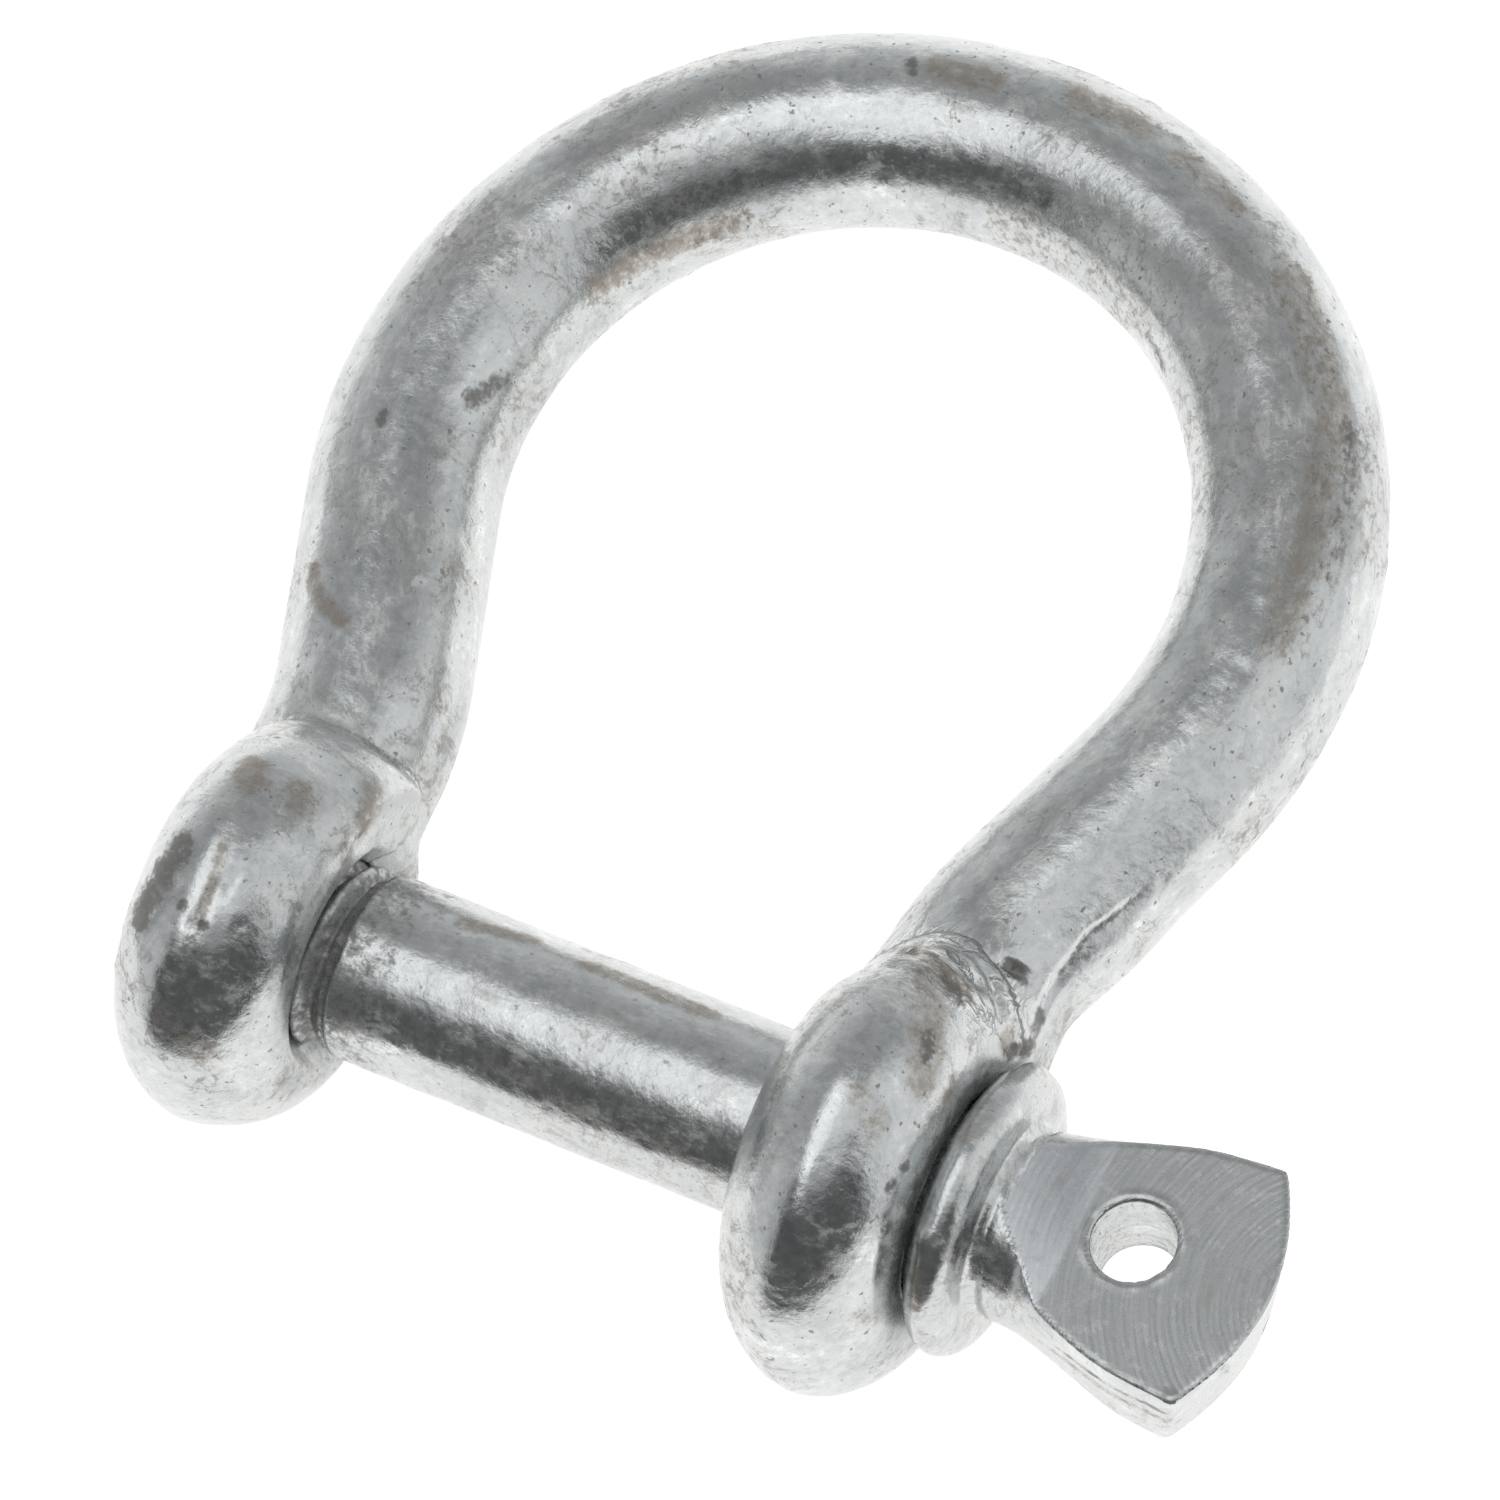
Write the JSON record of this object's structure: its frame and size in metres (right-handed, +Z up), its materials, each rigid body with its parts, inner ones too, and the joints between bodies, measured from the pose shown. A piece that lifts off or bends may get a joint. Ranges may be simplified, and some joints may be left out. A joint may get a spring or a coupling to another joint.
{
  "type": "screw-pin bow shackle",
  "caption": "Galvanised steel bow shackle: a round bar bent to an omega with forged eyes, closed by a screw pin with a collar and a flat drilled lug.",
  "frame": {"origin": "on the surface the shackle lies on, under the middle of its bounding box", "axes": "+X along the screw pin from its threaded tip to its lug, +Y from the pin to the crown of the bow, +Z up through the thickness of the shackle as it lies flat"},
  "size_m": [0.0688, 0.0726, 0.0242],
  "materials": {
    "galvanised_bow": "hot-dip galvanised forging, satin, mottled grey with dark pits, pale rough patches and tan stains",
    "galvanised_pin": "galvanised pin, satin, with fine milling marks on the lug"
  },
  "bodies": {
    "bow": {"bow": "galvanised_bow"},
    "screw_pin": {"screw_pin": "galvanised_pin"}
  },
  "joints": [
    {"name": "pin_withdrawal", "type": "slide", "parent": "bow", "child": "screw_pin", "axis": [1, 0, 0], "range_m": [0, 0.048]}
  ]
}
